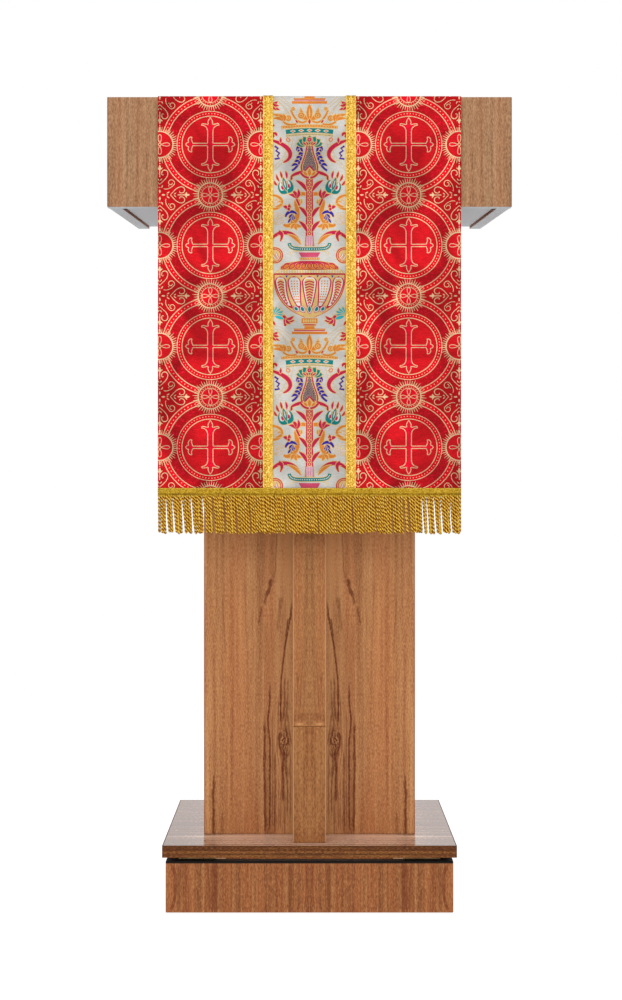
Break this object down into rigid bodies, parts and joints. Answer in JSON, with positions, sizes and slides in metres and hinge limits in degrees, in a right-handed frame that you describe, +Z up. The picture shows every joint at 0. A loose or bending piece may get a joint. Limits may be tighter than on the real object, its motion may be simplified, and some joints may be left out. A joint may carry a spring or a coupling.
{
  "type": "lectern",
  "caption": "Panel-built wooden pulpit with a wedge-shaped sloping head on a narrow open-backed column and plinth, dressed with a hanging red, ivory and gold brocade veil.",
  "frame": {"origin": "on the floor, at the middle of the object's footprint, below the middle of the base", "axes": "+Z up; -Y towards the congregation, the side that the veil's long hang faces; +Y towards the reader, where the column is open; +X to the right as seen from the congregation"},
  "size_m": [0.592, 0.519, 1.2125],
  "materials": {
    "column_wood": "satin wood-grain laminate, vertical grain, warm mid brown",
    "head_wood": "satin wood-grain laminate, slightly paler and pinker than the column",
    "plinth_wood": "satin wood-grain laminate, slightly darker than the column",
    "edge_wood": "dark edge banding with its grain lying flat",
    "inner_wood": "unfinished softwood of the hidden battens and blocks",
    "nylon": "black moulded nylon",
    "steel": "zinc-plated steel",
    "red_brocade": "red damask-ground brocade with cream-gold figuring",
    "ivory_brocade": "ivory figured brocade in crimson, teal, blue and orange",
    "red_lining": "plain red satin lining",
    "gold_braid": "woven metallic-gold braid and bullion cords"
  },
  "bodies": {
    "root": {"base_board": "column_wood", "base_cleat_left": "inner_wood", "base_cleat_right": "inner_wood", "base_edge_back": "edge_wood", "base_edge_front": "edge_wood", "base_edge_left": "edge_wood", "base_edge_right": "edge_wood", "book_stop": "head_wood", "column_front": "column_wood", "column_left": "column_wood", "column_right": "column_wood", "corner_block_back_left": "inner_wood", "corner_block_back_right": "inner_wood", "corner_block_front_left": "inner_wood", "corner_block_front_right": "inner_wood", "cross_rail_left": "inner_wood", "cross_rail_right": "inner_wood", "desk_board": "head_wood", "front_fringe": "gold_braid", "front_heading": "gold_braid", "galloon_left": "gold_braid", "galloon_right": "gold_braid", "glide_back_left": "nylon", "glide_back_right": "nylon", "glide_front_left": "nylon", "glide_front_right": "nylon", "head_bottom": "head_wood", "head_cleat_left": "inner_wood", "head_cleat_right": "inner_wood", "head_front": "head_wood", "head_left": "head_wood", "head_rear_rail": "head_wood", "head_right": "head_wood", "head_screw_back_left": "steel", "head_screw_back_right": "steel", "head_screw_front_left": "steel", "head_screw_front_right": "steel", "kick_rail": "column_wood", "pilaster_cheek_left": "column_wood", "pilaster_cheek_right": "column_wood", "pilaster_core": "inner_wood", "pilaster_lower": "column_wood", "pilaster_upper": "column_wood", "plinth_back": "plinth_wood", "plinth_front": "plinth_wood", "plinth_left": "plinth_wood", "plinth_right": "plinth_wood", "rear_fringe": "gold_braid", "rear_heading": "gold_braid", "shelf_fixed": "column_wood", "shelf_loose": "column_wood", "shelf_pin_back_left": "steel", "shelf_pin_back_right": "steel", "shelf_pin_front_left": "steel", "shelf_pin_front_right": "steel", "veil_band_centre": "ivory_brocade", "veil_band_left": "red_brocade", "veil_band_right": "red_brocade", "veil_lining": "red_lining"}
  },
  "joints": []
}
